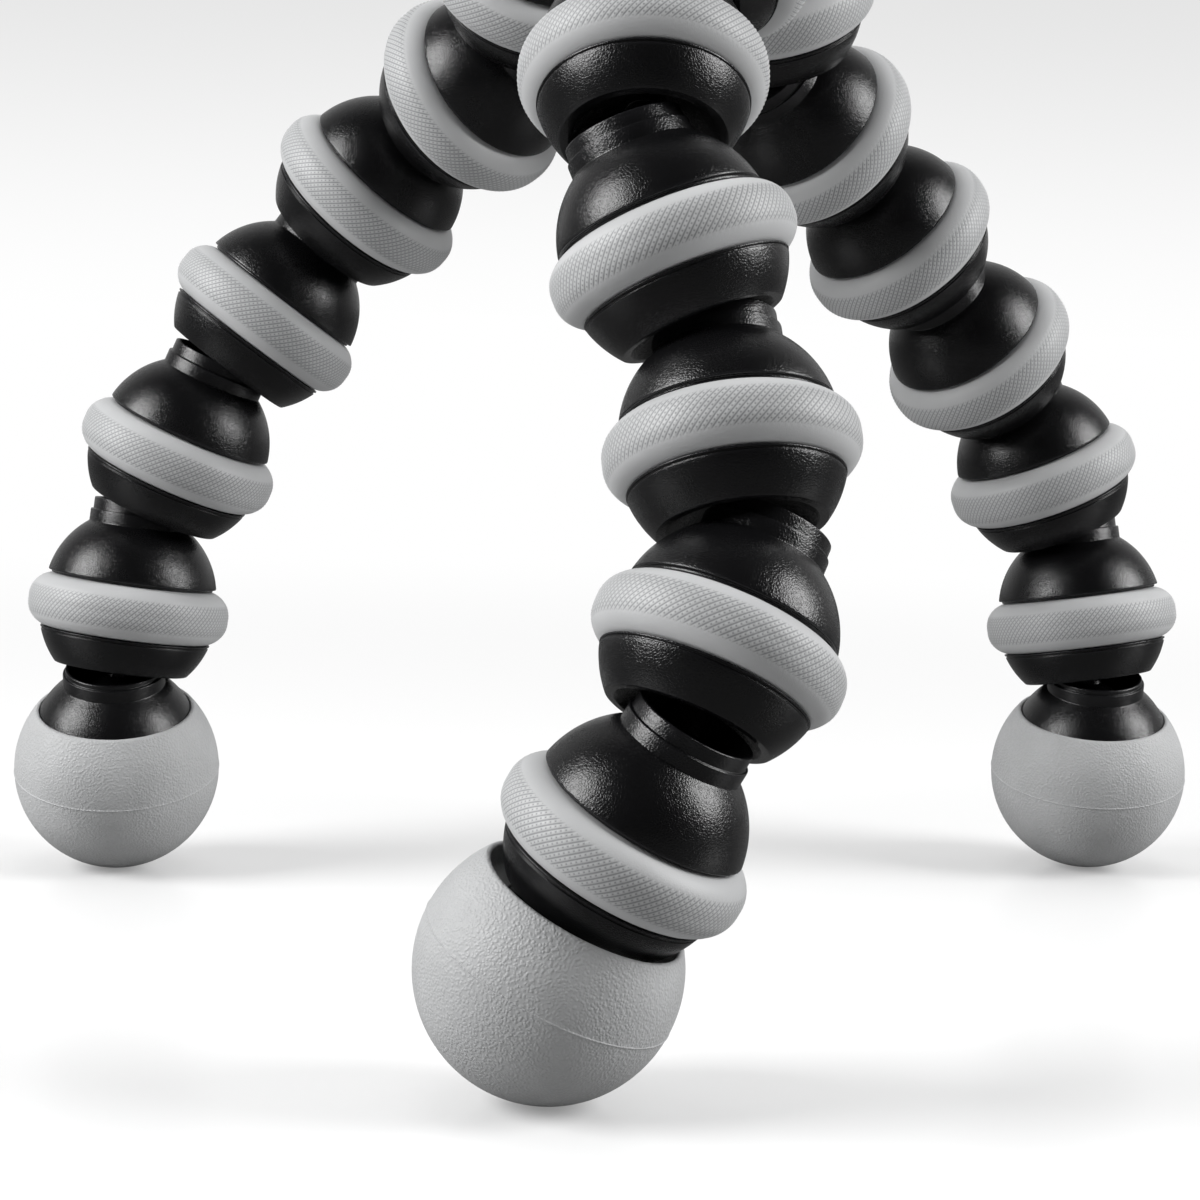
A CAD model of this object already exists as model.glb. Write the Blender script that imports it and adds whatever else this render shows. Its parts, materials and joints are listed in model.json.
"""Looks of the flexible leg tripod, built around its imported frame.

Sizes of the pieces are in millimetres, as on a maker's drawing. The scene itself is in metres,
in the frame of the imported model: the floor is z = 0 and the front leg points to -Y.
"""

from __future__ import annotations

import json
import logging
import math
from dataclasses import dataclass, field
from enum import Enum
from typing import Any, Optional, Union

import bpy
import numpy as np
from mathutils import Matrix, Vector


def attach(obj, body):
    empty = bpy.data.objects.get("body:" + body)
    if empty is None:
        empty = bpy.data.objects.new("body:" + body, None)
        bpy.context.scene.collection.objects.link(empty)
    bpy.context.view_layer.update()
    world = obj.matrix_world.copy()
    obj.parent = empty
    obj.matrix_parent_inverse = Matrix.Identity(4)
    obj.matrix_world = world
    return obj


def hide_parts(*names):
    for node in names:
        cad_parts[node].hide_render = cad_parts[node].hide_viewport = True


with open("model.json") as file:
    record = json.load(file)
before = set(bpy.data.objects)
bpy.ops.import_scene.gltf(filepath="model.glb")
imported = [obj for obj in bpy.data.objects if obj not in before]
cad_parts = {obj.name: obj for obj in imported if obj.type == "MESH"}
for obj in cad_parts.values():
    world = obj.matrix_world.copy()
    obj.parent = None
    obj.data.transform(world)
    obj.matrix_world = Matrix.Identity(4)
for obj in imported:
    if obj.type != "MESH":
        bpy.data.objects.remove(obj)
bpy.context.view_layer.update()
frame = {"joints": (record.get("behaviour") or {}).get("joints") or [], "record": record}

LOG = logging.getLogger("tripod")
MM = 0.001
LINKS = 7
TURN = 2 * math.pi
BODIES = frame["record"]["behaviour"]["bodies"]
NODE_BODY = {node: body for body, nodes in BODIES.items() for node in nodes}
JOINT_AT = {joint["name"]: Vector(joint["pos_m"]) for joint in frame["joints"]}


class Leg(Enum):
    """The three legs, by the name that their nodes start with."""

    FRONT = "front"
    LEFT = "left"
    RIGHT = "right"


class Slot(Enum):
    """The record's material slots."""

    LINK = "link_plastic"
    RING = "ring_rubber"
    FOOT = "foot_rubber"
    HEAD = "head_plastic"
    BALL = "ball_metal"
    STEEL = "steel"


class Value:
    """An output socket whose arithmetic adds Math nodes to its tree."""

    def __init__(self, tree: Tree, socket: bpy.types.NodeSocket) -> None:
        """Keeps the socket and the tree that it belongs to.

        Args:
            tree: the builder of the node tree.
            socket: the output that this value stands for.
        """
        self.tree = tree
        self.socket = socket

    def also(self, output: str) -> Value:
        """Another output of the same node."""
        return Value(self.tree, self.socket.node.outputs[output])

    def __add__(self, other: Number) -> Value:
        """Sum of two values."""
        return self.tree.math("ADD", self, other)

    def __radd__(self, other: Number) -> Value:
        """Sum with a plain number first."""
        return self.tree.math("ADD", other, self)

    def __sub__(self, other: Number) -> Value:
        """Difference of two values."""
        return self.tree.math("SUBTRACT", self, other)

    def __rsub__(self, other: Number) -> Value:
        """Difference with a plain number first."""
        return self.tree.math("SUBTRACT", other, self)

    def __mul__(self, other: Number) -> Value:
        """Product of two values."""
        return self.tree.math("MULTIPLY", self, other)

    def __truediv__(self, other: Number) -> Value:
        """Quotient of two values."""
        return self.tree.math("DIVIDE", self, other)

    def floor(self) -> Value:
        """Whole part of the value."""
        return self.tree.math("FLOOR", self)

    def cos(self) -> Value:
        """Cosine of the value, in radians."""
        return self.tree.math("COSINE", self)

    def sin(self) -> Value:
        """Sine of the value, in radians."""
        return self.tree.math("SINE", self)

    def step(self, low: float, high: float) -> Value:
        """Smooth step from 0 at low to 1 at high."""
        return self.tree.node(
            "ShaderNodeMapRange",
            {"interpolation_type": "SMOOTHSTEP"},
            {"Value": self, "From Min": low, "From Max": high},
        )


Number = Union[Value, float, int]
Triple = tuple[float, float, float]
Colour = Triple


class Tree:
    """Adds nodes to one node tree and links them."""

    def __init__(self, data: bpy.types.NodeTree) -> None:
        """Starts on an existing tree.

        Args:
            data: a shader or geometry node tree.
        """
        self.data = data

    @classmethod
    def emptied(cls, owner: Union[bpy.types.Material, bpy.types.World]) -> Tree:
        """Gives a material or a world an empty tree.

        Args:
            owner: the material or world.

        Returns:
            The builder of its tree.
        """
        owner.use_nodes = True
        owner.node_tree.nodes.clear()
        return cls(owner.node_tree)

    @staticmethod
    def find(sockets: Any, key: str) -> bpy.types.NodeSocket:
        """The enabled socket with this identifier or name.

        Args:
            sockets: a node's inputs or outputs.
            key: identifier, or else name.

        Returns:
            The first socket that fits.
        """
        fits = [s for s in sockets if s.enabled and s.identifier == key]
        fits += [s for s in sockets if s.enabled and s.name == key]
        return fits[0]

    def node(
        self,
        kind: str,
        settings: Optional[dict[str, Any]] = None,
        inputs: Optional[dict[str, Any]] = None,
        output: Optional[str] = None,
    ) -> Value:
        """Adds a node, sets it up and links it.

        Args:
            kind: the node's type.
            settings: its properties, set first.
            inputs: values or links of its sockets.
            output: the socket to return, or the first enabled one.

        Returns:
            The node's output as a value.
        """
        made = self.data.nodes.new(kind)
        for key, value in (settings or {}).items():
            setattr(made, key, value)
        for key, value in (inputs or {}).items():
            socket = self.find(made.inputs, key)
            if isinstance(value, Value):
                self.data.links.new(value.socket, socket)
            else:
                socket.default_value = value
        if not made.outputs:
            return Value(self, None)
        if output:
            return Value(self, self.find(made.outputs, output))
        return Value(self, next(s for s in made.outputs if s.enabled))

    def math(self, operation: str, first: Number, second: Optional[Number] = None) -> Value:
        """A Math node.

        Args:
            operation: its operation.
            first: first operand.
            second: second operand, where it has one.

        Returns:
            The result.
        """
        inputs = {"Value": first}
        if second is not None:
            inputs["Value_001"] = second
        return self.node("ShaderNodeMath", {"operation": operation}, inputs)

    def blend(self, factor: Number, first: Any, second: Any) -> Value:
        """Mix of two colours.

        Args:
            factor: 0 for the first, 1 for the second.
            first: colour or link.
            second: colour or link.

        Returns:
            The mixed colour.
        """
        inputs = {"Factor_Float": factor, "A_Color": self.full(first), "B_Color": self.full(second)}
        return self.node("ShaderNodeMix", {"data_type": "RGBA"}, inputs, "Result_Color")

    @staticmethod
    def full(colour: Any) -> Any:
        """A colour with its alpha, or the link as it is."""
        return colour if isinstance(colour, Value) else (*colour, 1.0)


def tone(colour: Colour, gain: float, lift: float = 0.0) -> Colour:
    """A lighter or darker tone of a colour.

    Args:
        colour: the colour.
        gain: factor of its light.
        lift: light that is added.

    Returns:
        The tone, up to white.
    """
    return tuple(min(1.0, c * gain + lift) for c in colour)


def put(name: str, data: Any) -> bpy.types.Object:
    """Makes an object and links it to the scene.

    Args:
        name: name of the object.
        data: its mesh, lamp or camera.

    Returns:
        The object.
    """
    made = bpy.data.objects.new(name, data)
    bpy.context.scene.collection.objects.link(made)
    return made


class Finish:
    """What all finishes share: a material with one Principled shader."""

    name: str

    def start(self) -> tuple[bpy.types.Material, Tree, Value]:
        """Makes the empty material.

        Returns:
            The material, the builder of its tree and the object coordinates.
        """
        material = bpy.data.materials.new(self.name)
        tree = Tree.emptied(material)
        return material, tree, tree.node("ShaderNodeTexCoord", output="Object")

    @staticmethod
    def close(tree: Tree, inputs: dict[str, Any]) -> None:
        """Ends the tree in a Principled shader.

        Args:
            tree: the material's tree.
            inputs: values or links of the shader.
        """
        shader = tree.node("ShaderNodeBsdfPrincipled", None, inputs)
        tree.node("ShaderNodeOutputMaterial", None, {"Surface": shader})

    @staticmethod
    def mask(tree: Tree, name: str) -> Value:
        """A number stored on the mesh's points."""
        return tree.node("ShaderNodeAttribute", {"attribute_name": name}, output="Fac")

    @staticmethod
    def noise(tree: Tree, place: Value, grain: float, detail: float) -> Value:
        """Noise in the object's own coordinates.

        Args:
            tree: the material's tree.
            place: coordinates.
            grain: size of a speck in millimetres.
            detail: octaves.

        Returns:
            A value around one half.
        """
        inputs = {"Vector": place, "Scale": 1 / (grain * MM), "Detail": detail}
        return tree.node("ShaderNodeTexNoise", None, inputs, "Fac")

    @staticmethod
    def warped(tree: Tree, place: Value, cell: float, pace: float, push: float, detail: float) -> Value:
        """Coordinates that noise pushes about, so that cells lose their even spacing.

        Args:
            tree: the material's tree.
            place: coordinates.
            cell: size of a cell in millimetres.
            pace: specks of the noise for each cell.
            push: length of the push, in cells.
            detail: octaves.

        Returns:
            The new coordinates.
        """
        inputs = {"Vector": place, "Scale": pace / (cell * MM), "Detail": detail}
        drift = tree.node("ShaderNodeTexNoise", None, inputs, "Color")
        return tree.node(
            "ShaderNodeVectorMath",
            {"operation": "MULTIPLY_ADD"},
            {"Vector": drift, "Vector_001": (push * cell * MM,) * 3, "Vector_002": place},
        )

    @staticmethod
    def relief(tree: Tree, height: Value, depth: float) -> Value:
        """A bump of real depth.

        Args:
            tree: the material's tree.
            height: 0 to 1.
            depth: depth in millimetres.

        Returns:
            The normal.
        """
        return tree.node("ShaderNodeBump", None, {"Height": height, "Distance": depth * MM, "Strength": 1.0})


@dataclass(frozen=True)
class GrainedPlastic(Finish):
    """Satin black moulding with a fine leather grain and edges that handling has polished."""

    PACE, PUSH = 0.5, 0.9
    CREASE = (0.02, 0.32)
    PORE, PORE_SHARE = 0.12, 0.15
    CLOUD, RUBBED = 6.0, (0.38, 0.62)
    TONES = (0.8, 1.25)
    SHINE = 0.42

    name: str
    colour: Colour
    worn: Colour
    roughness: float
    cell: float
    depth: float

    def material(self) -> bpy.types.Material:
        """Builds the material."""
        material, tree, place = self.start()
        bent = self.warped(tree, place, self.cell, self.PACE, self.PUSH, 2.0)
        creases = tree.node(
            "ShaderNodeTexVoronoi",
            {"feature": "DISTANCE_TO_EDGE"},
            {"Vector": bent, "Scale": 1 / (self.cell * MM)},
        )
        pads = creases.step(*self.CREASE)
        height = pads + self.noise(tree, place, self.PORE, 1.0) * self.PORE_SHARE
        cloud = self.noise(tree, place, self.CLOUD, 3.0)
        wear = self.mask(tree, "edge") * (cloud.step(*self.RUBBED) * 0.7 + 0.3)
        shade = tree.blend(cloud, *(tone(self.colour, gain) for gain in self.TONES))
        inputs = {
            "Base Color": tree.blend(wear, shade, self.worn),
            "Roughness": self.roughness + (cloud - 0.5) * 0.06 + (1 - pads) * 0.05 - wear * 0.04,
            "Specular IOR Level": self.SHINE,
            "Normal": self.relief(tree, height, self.depth),
        }
        self.close(tree, inputs)
        return material


@dataclass(frozen=True)
class HatchedRubber(Finish):
    """Light grey rubber with a diamond hatch, darker down in the hatch."""

    CLOUD, CLOUDS = 9.0, (0.3, 0.7)
    SPECK, SPECK_DEPTH = 0.16, 0.012
    LOW = (0.4, 1.0)
    TONES = (0.96, 1.03)
    SHEEN = 0.12

    name: str
    colour: Colour
    hollow: Colour
    roughness: float

    def material(self) -> bpy.types.Material:
        """Builds the material."""
        material, tree, place = self.start()
        cloud = self.noise(tree, place, self.CLOUD, 3.0)
        specks = self.noise(tree, place, self.SPECK, 2.0)
        low = self.mask(tree, "hatch").step(*self.LOW)
        rubbed = tree.blend(cloud.step(*self.CLOUDS), *(tone(self.colour, gain) for gain in self.TONES))
        inputs = {
            "Base Color": tree.blend(low, rubbed, self.hollow),
            "Roughness": self.roughness + (cloud - 0.5) * 0.12 + low * 0.12,
            "Normal": self.relief(tree, specks, self.SPECK_DEPTH),
            "Sheen Weight": self.SHEEN,
        }
        self.close(tree, inputs)
        return material


@dataclass(frozen=True)
class PebbledRubber(Finish):
    """Mid grey rubber with a pebbled skin and a pale parting line."""

    PACE, PUSH = 0.6, 0.8
    TOPS, MELT = (0.1, 0.75), 0.4
    CLOUD, CLOUDS = 7.0, (0.3, 0.7)
    TONES = (0.94, 1.05)
    DUST, DUST_TONE = 0.25, 0.82
    SHEEN = 0.1

    name: str
    colour: Colour
    seam: Colour
    roughness: float
    pebble: float
    depth: float

    def material(self) -> bpy.types.Material:
        """Builds the material."""
        material, tree, place = self.start()
        bent = self.warped(tree, place, self.pebble, self.PACE, self.PUSH, 1.0)
        pebbles = tree.node(
            "ShaderNodeTexVoronoi",
            {"feature": "SMOOTH_F1"},
            {"Vector": bent, "Scale": 1 / (self.pebble * MM), "Smoothness": self.MELT},
            "Distance",
        )
        tops = 1 - pebbles.step(*self.TOPS)
        cloud = self.noise(tree, place, self.CLOUD, 4.0)
        shade = tree.blend(cloud.step(*self.CLOUDS), *(tone(self.colour, gain) for gain in self.TONES))
        dusty = tree.blend((1 - tops) * self.DUST, shade, tone(self.colour, self.DUST_TONE))
        inputs = {
            "Base Color": tree.blend(self.mask(tree, "edge"), dusty, self.seam),
            "Roughness": self.roughness + (cloud - 0.5) * 0.1 + (1 - tops) * 0.12,
            "Normal": self.relief(tree, tops, self.depth),
            "Sheen Weight": self.SHEEN,
        }
        self.close(tree, inputs)
        return material


@dataclass(frozen=True)
class TurnedMetal(Finish):
    """Metal with the fine rings that a lathe leaves round an upright axis."""

    STRETCH = (0.04, 0.04, 1.0)
    CLOUD = 4.0
    TONES = (0.85, 1.15)
    EDGE_TONE, EDGE_LIFT = 1.6, 0.05

    name: str
    colour: Colour
    metallic: float
    roughness: float
    groove: float
    depth: float

    def material(self) -> bpy.types.Material:
        """Builds the material."""
        material, tree, place = self.start()
        stretched = tree.node("ShaderNodeMapping", None, {"Vector": place, "Scale": self.STRETCH})
        rings = self.noise(tree, stretched, self.groove, 3.0)
        cloud = self.noise(tree, place, self.CLOUD, 3.0)
        shade = tree.blend(cloud, *(tone(self.colour, gain) for gain in self.TONES))
        bright = tone(self.colour, self.EDGE_TONE, self.EDGE_LIFT)
        inputs = {
            "Base Color": tree.blend(self.mask(tree, "edge") * 0.5, shade, bright),
            "Metallic": self.metallic,
            "Roughness": self.roughness + (rings - 0.5) * 0.2 + (cloud - 0.5) * 0.1,
            "Normal": self.relief(tree, rings, self.depth),
        }
        self.close(tree, inputs)
        return material


FINISHES = {
    Slot.LINK: GrainedPlastic(
        "satin_black", (0.004, 0.004, 0.0044), (0.01, 0.01, 0.011), roughness=0.22, cell=0.32, depth=0.014
    ),
    Slot.RING: HatchedRubber("ring_grey", (0.48, 0.485, 0.49), (0.23, 0.235, 0.24), roughness=0.48),
    Slot.FOOT: PebbledRubber(
        "foot_grey", (0.45, 0.455, 0.46), (0.62, 0.625, 0.63), roughness=0.46, pebble=0.34, depth=0.05
    ),
    Slot.HEAD: GrainedPlastic(
        "head_black", (0.012, 0.012, 0.013), (0.04, 0.04, 0.042), roughness=0.36, cell=0.35, depth=0.006
    ),
    Slot.BALL: TurnedMetal(
        "black_anodised", (0.035, 0.035, 0.038), metallic=0.6, roughness=0.3, groove=0.12, depth=0.004
    ),
    Slot.STEEL: TurnedMetal(
        "turned_steel", (0.56, 0.56, 0.57), metallic=1.0, roughness=0.3, groove=0.1, depth=0.004
    ),
}


@dataclass
class Station:
    """One point of a half section, in millimetres, with what the mesh keeps for its finish."""

    radius: float
    height: float
    edge: float = 0.0
    row: float = 0.0
    mask: float = 0.0


@dataclass
class Outline:
    """Half section of a turned piece, walked with the solid on the left."""

    FILLET_AT = (0.0, 0.33, 0.67, 1.0)
    LONGEST_CUT = 0.45
    CORNER = 28.0
    TINY = 1e-6

    stations: list[Station] = field(default_factory=list)

    def to(self, radius: float, height: float) -> Outline:
        """Adds a straight line to a point."""
        self.stations.append(Station(radius, height))
        return self

    def arc(self, height: float, radius: float, start: float, end: float, steps: int) -> Outline:
        """Adds an arc round a point of the axis.

        Args:
            height: height of its centre.
            radius: its radius.
            start: first angle in degrees, from straight out to straight up.
            end: last angle.
            steps: number of chords.

        Returns:
            The outline itself.
        """
        for k in range(steps + 1):
            a = math.radians(start + (end - start) * k / steps)
            self.to(max(0.0, radius * math.cos(a)), height + radius * math.sin(a))
        return self

    def softened(self, fillet: float, worn: float = 1.0) -> Outline:
        """Rounds the sharp corners and marks the outer ones as edges.

        Args:
            fillet: largest radius of a rounded corner.
            worn: how strongly the outer corners are marked.

        Returns:
            The new outline.
        """
        made = Outline([self.stations[0]])
        for before, here, after in zip(self.stations, self.stations[1:], self.stations[2:]):
            a = Vector((here.radius - before.radius, here.height - before.height))
            b = Vector((after.radius - here.radius, after.height - here.height))
            if min(a.length, b.length) < self.TINY:
                continue
            turn = math.atan2(a.x * b.y - a.y * b.x, a.dot(b))
            if abs(turn) < math.radians(self.CORNER):
                made.stations.append(here)
                continue
            cut = min(
                fillet * math.tan(abs(turn) / 2), self.LONGEST_CUT * a.length, self.LONGEST_CUT * b.length
            )
            point = Vector((here.radius, here.height))
            low, high = point - a.normalized() * cut, point + b.normalized() * cut
            for t in self.FILLET_AT:
                spot = low * (1 - t) ** 2 + point * 2 * t * (1 - t) + high * t**2
                made.stations.append(Station(spot.x, spot.y, worn if turn > 0 else 0.0))
        made.stations.append(self.stations[-1])
        return made

    def mesh(self, name: str) -> bpy.types.Mesh:
        """The half section as a line of points, with its numbers stored on them.

        Args:
            name: name of the mesh.

        Returns:
            A mesh of edges in the XZ plane, in metres.
        """
        points = np.array([(s.radius * MM, 0.0, s.height * MM) for s in self.stations])
        mesh = bpy.data.meshes.new(name)
        mesh.from_pydata(points.tolist(), [(k, k + 1) for k in range(len(points) - 1)], [])
        along = np.gradient(points, axis=0)
        outward = np.stack([along[:, 2], np.zeros(len(points)), -along[:, 0]], axis=1)
        outward /= np.maximum(np.linalg.norm(outward, axis=1, keepdims=True), 1e-12)
        kept = mesh.attributes.new("outward", "FLOAT_VECTOR", "POINT")
        kept.data.foreach_set("vector", outward.astype(np.float32).ravel())
        for key in Lathe.NUMBERS:
            numbers = mesh.attributes.new(key, "FLOAT", "POINT")
            numbers.data.foreach_set("value", np.array([getattr(s, key) for s in self.stations], np.float32))
        return mesh


def height_angle(height: float, radius: float) -> float:
    """Angle in degrees, from straight out, at which a circle reaches a height over its centre."""
    return math.degrees(math.asin(height / radius))


def reach_angle(reach: float, radius: float) -> float:
    """Angle in degrees, from straight out, at which a circle comes to a distance from its axis."""
    return math.degrees(math.acos(reach / radius))


@dataclass(frozen=True)
class Stand:
    """Where a turned piece stands: a point of its axis and the lean of that axis."""

    origin: Vector
    lean: float = 0.0
    heading: float = 0.0

    @staticmethod
    def along(origin: Vector, axis: Vector) -> Stand:
        """A stand at a point whose axis has the given direction."""
        up = axis.normalized()
        return Stand(origin, math.acos(max(-1.0, min(1.0, up.z))), math.atan2(up.y, up.x))


@dataclass(frozen=True)
class Hatch:
    """A relief in a turned piece: cells around, depth in millimetres, and samples for each cell."""

    around: int
    depth: float
    samples: int


class Shaper:
    """A Geometry Nodes tree with named inputs, and the pieces that it makes of meshes."""

    NAME: str
    INPUTS: dict[str, str]

    def __init__(self) -> None:
        """Builds the tree: its inputs, its shape, and the material at its end."""
        self.group = bpy.data.node_groups.new(self.NAME, "GeometryNodeTree")
        face = self.group.interface
        kinds = {"Geometry": "Geometry", **self.INPUTS, "Place": "Vector", "Material": "Material"}
        self.keys = {
            key: face.new_socket(key, in_out="INPUT", socket_type="NodeSocket" + kind).identifier
            for key, kind in kinds.items()
        }
        face.new_socket("Geometry", in_out="OUTPUT", socket_type="NodeSocketGeometry")
        tree = Tree(self.group)
        given = tree.node("NodeGroupInput", output="Geometry")
        real = tree.node("GeometryNodeRealizeInstances", None, {"Geometry": self.shape(tree, given)})
        inputs = {"Geometry": real, "Material": given.also("Material")}
        tree.node("NodeGroupOutput", None, {"Geometry": tree.node("GeometryNodeSetMaterial", None, inputs)})

    def shape(self, tree: Tree, given: Value) -> Value:
        """Adds the nodes between the input and the material.

        Args:
            tree: the builder of the tree.
            given: the geometry that comes in.

        Returns:
            The finished geometry.
        """
        raise NotImplementedError

    @staticmethod
    def moved(tree: Tree, given: Value, geometry: Value, angles: dict[str, Value]) -> Value:
        """Turns a geometry and moves it to its place.

        Args:
            tree: the builder of the tree.
            given: the geometry that comes in, whose node has the place.
            geometry: what is moved.
            angles: turns about the axes, in radians.

        Returns:
            The moved geometry.
        """
        euler = tree.node("ShaderNodeCombineXYZ", None, angles)
        turned = tree.node("FunctionNodeEulerToRotation", None, {"Euler": euler})
        inputs = {"Geometry": geometry, "Translation": given.also("Place"), "Rotation": turned}
        return tree.node("GeometryNodeTransform", None, inputs)

    def run(
        self, name: str, mesh: bpy.types.Mesh, values: dict[str, Any], sharp: float = 50.0
    ) -> bpy.types.Object:
        """Runs the tree on a mesh and keeps the result as a plain mesh.

        Args:
            name: name of the piece.
            mesh: what the tree starts from.
            values: the tree's inputs by name.
            sharp: angle in degrees past which an edge stays sharp.

        Returns:
            The finished piece at the origin.
        """
        carrier = put(name + "_carrier", mesh)
        modifier = carrier.modifiers.new("shape", "NODES")
        modifier.node_group = self.group
        for key, value in values.items():
            modifier[self.keys[key]] = value
        graph = bpy.context.evaluated_depsgraph_get()
        made = bpy.data.meshes.new_from_object(carrier.evaluated_get(graph), depsgraph=graph)
        carrier.modifiers.remove(modifier)
        bpy.data.objects.remove(carrier)
        bpy.data.meshes.remove(mesh)
        made.name = name
        made.set_sharp_from_angle(angle=math.radians(sharp))
        return put(name, made)


class Lathe(Shaper):
    """Turns half sections into pieces."""

    NAME = "turned_piece"
    INPUTS = {"Around": "Int", "Hatches": "Int", "Depth": "Float", "Lean": "Float", "Heading": "Float"}
    NUMBERS = ("edge", "row", "mask")
    WELD = 1e-6

    def shape(self, tree: Tree, given: Value) -> Value:
        """Makes a grid whose columns are the half section, turned about the axis.

        Args:
            tree: the builder of the tree.
            given: the half section.

        Returns:
            The turned piece in its place.
        """
        around = given.also("Around")
        count = tree.node(
            "GeometryNodeAttributeDomainSize", {"component": "MESH"}, {"Geometry": given}, "Point Count"
        )
        index = tree.node("GeometryNodeInputIndex")
        column = ((index + 0.5) / count).floor()
        station = index - column * count
        turn = column / around * TURN

        spot = self._sampled(tree, given, station, tree.node("GeometryNodeInputPosition"), "FLOAT_VECTOR")
        outward = self._kept(tree, given, station, "outward", "FLOAT_VECTOR")
        numbers = {key: self._kept(tree, given, station, key, "FLOAT") for key in self.NUMBERS}
        across = turn * given.also("Hatches")
        along = numbers["row"] * TURN
        wave = tree.math("MINIMUM", (across + along).cos(), (across - along).cos())
        lift = wave * numbers["mask"] * given.also("Depth")
        here = tree.node("ShaderNodeSeparateXYZ", None, {"Vector": spot})
        out = tree.node("ShaderNodeSeparateXYZ", None, {"Vector": outward})
        radius = here + lift * out
        height = here.also("Z") + lift * out.also("Z")
        ends = {"X": radius * turn.cos(), "Y": radius * turn.sin(), "Z": height}
        place = tree.node("ShaderNodeCombineXYZ", None, ends)
        grid = tree.node(
            "GeometryNodeMeshGrid", None, {"Vertices X": around + 1, "Vertices Y": count}, "Mesh"
        )
        shaped = tree.node("GeometryNodeSetPosition", None, {"Geometry": grid, "Position": place})
        low = (0.5 - wave * 0.5) * numbers["mask"]
        for key, number in (("edge", numbers["edge"]), ("hatch", low)):
            shaped = tree.node(
                "GeometryNodeStoreNamedAttribute",
                {"data_type": "FLOAT", "domain": "POINT"},
                {"Geometry": shaped, "Name": key, "Value": number},
            )
        welded = tree.node("GeometryNodeMergeByDistance", None, {"Geometry": shaped, "Distance": self.WELD})
        smooth = tree.node("GeometryNodeSetShadeSmooth", None, {"Geometry": welded})
        return self.moved(tree, given, smooth, {"Y": given.also("Lean"), "Z": given.also("Heading")})

    @staticmethod
    def _sampled(tree: Tree, section: Value, station: Value, value: Value, kind: str) -> Value:
        """A value of the half section at a station."""
        return tree.node(
            "GeometryNodeSampleIndex",
            {"data_type": kind, "domain": "POINT"},
            {"Geometry": section, "Value": value, "Index": station},
        )

    def _kept(self, tree: Tree, section: Value, station: Value, name: str, kind: str) -> Value:
        """What the half section keeps under a name, at a station."""
        named = tree.node(
            "GeometryNodeInputNamedAttribute", {"data_type": kind}, {"Name": name}, "Attribute"
        )
        return self._sampled(tree, section, station, named, kind)

    def turn(
        self,
        name: str,
        outline: Outline,
        stand: Stand,
        material: bpy.types.Material,
        around: int,
        hatch: Optional[Hatch] = None,
    ) -> bpy.types.Object:
        """Turns one piece.

        Args:
            name: name of the piece.
            outline: its half section.
            stand: where it stands.
            material: its material.
            around: number of columns, where it has no relief.
            hatch: relief, where it has one.

        Returns:
            The piece, with its place in its mesh.
        """
        values = {
            "Around": hatch.around * hatch.samples if hatch else around,
            "Hatches": hatch.around if hatch else 0,
            "Depth": hatch.depth * MM if hatch else 0.0,
            "Lean": stand.lean,
            "Heading": stand.heading,
            "Place": stand.origin,
            "Material": material,
        }
        return self.run(name, outline.mesh(name), values)


class Spread(Shaper):
    """Sets copies of a small part on a circle."""

    NAME = "parts_on_circle"
    INPUTS = {"Copies": "Int", "Radius": "Float", "Start": "Float"}

    def shape(self, tree: Tree, given: Value) -> Value:
        """Sets the part on the points of a circle.

        Args:
            tree: the builder of the tree.
            given: the part.

        Returns:
            The copies in their place.
        """
        inputs = {"Vertices": given.also("Copies"), "Radius": given.also("Radius")}
        circle = tree.node("GeometryNodeMeshCircle", None, inputs)
        copies = tree.node("GeometryNodeInstanceOnPoints", None, {"Points": circle, "Instance": given})
        return self.moved(tree, given, copies, {"Z": given.also("Start")})


class ThreadCutter(Shaper):
    """Winds a screw thread round a core."""

    NAME = "screw_thread"
    INPUTS = {"Radius": "Float", "Length": "Float", "Turns": "Float", "Ridge": "Float"}
    POINTS, SIDES = 40, 4
    SHARP = 30.0

    def shape(self, tree: Tree, given: Value) -> Value:
        """Sweeps a ridge along a spiral and joins it to the core.

        Args:
            tree: the builder of the tree.
            given: the core, in its place.

        Returns:
            Core and thread.
        """
        spiral = {
            "Resolution": self.POINTS,
            "Rotations": given.also("Turns"),
            "Start Radius": given.also("Radius"),
            "End Radius": given.also("Radius"),
            "Height": given.also("Length"),
        }
        wound = tree.node("GeometryNodeCurveSpiral", None, spiral)
        section = {"Resolution": self.SIDES, "Radius": given.also("Ridge")}
        ridge = tree.node("GeometryNodeCurvePrimitiveCircle", {"mode": "RADIUS"}, section)
        swept = tree.node(
            "GeometryNodeCurveToMesh", None, {"Curve": wound, "Profile Curve": ridge, "Fill Caps": True}
        )
        moved = self.moved(tree, given, swept, {})
        joined = tree.node("GeometryNodeJoinGeometry", None, {"Geometry": moved})
        tree.data.links.new(given.socket, joined.socket.node.inputs["Geometry"])
        return joined


def dress(piece: bpy.types.Object, slot: Slot, *nodes: str) -> None:
    """Puts a piece in the place of its CAD nodes, on their body.

    Args:
        piece: the finished piece.
        slot: the record's slot that its finish comes from.
        nodes: the nodes that it stands for, all on one body.
    """
    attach(piece, NODE_BODY[nodes[0]])
    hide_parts(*nodes)
    LOG.info("%s rides on %s, %d faces", piece.name, NODE_BODY[nodes[0]], len(piece.data.polygons))


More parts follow.
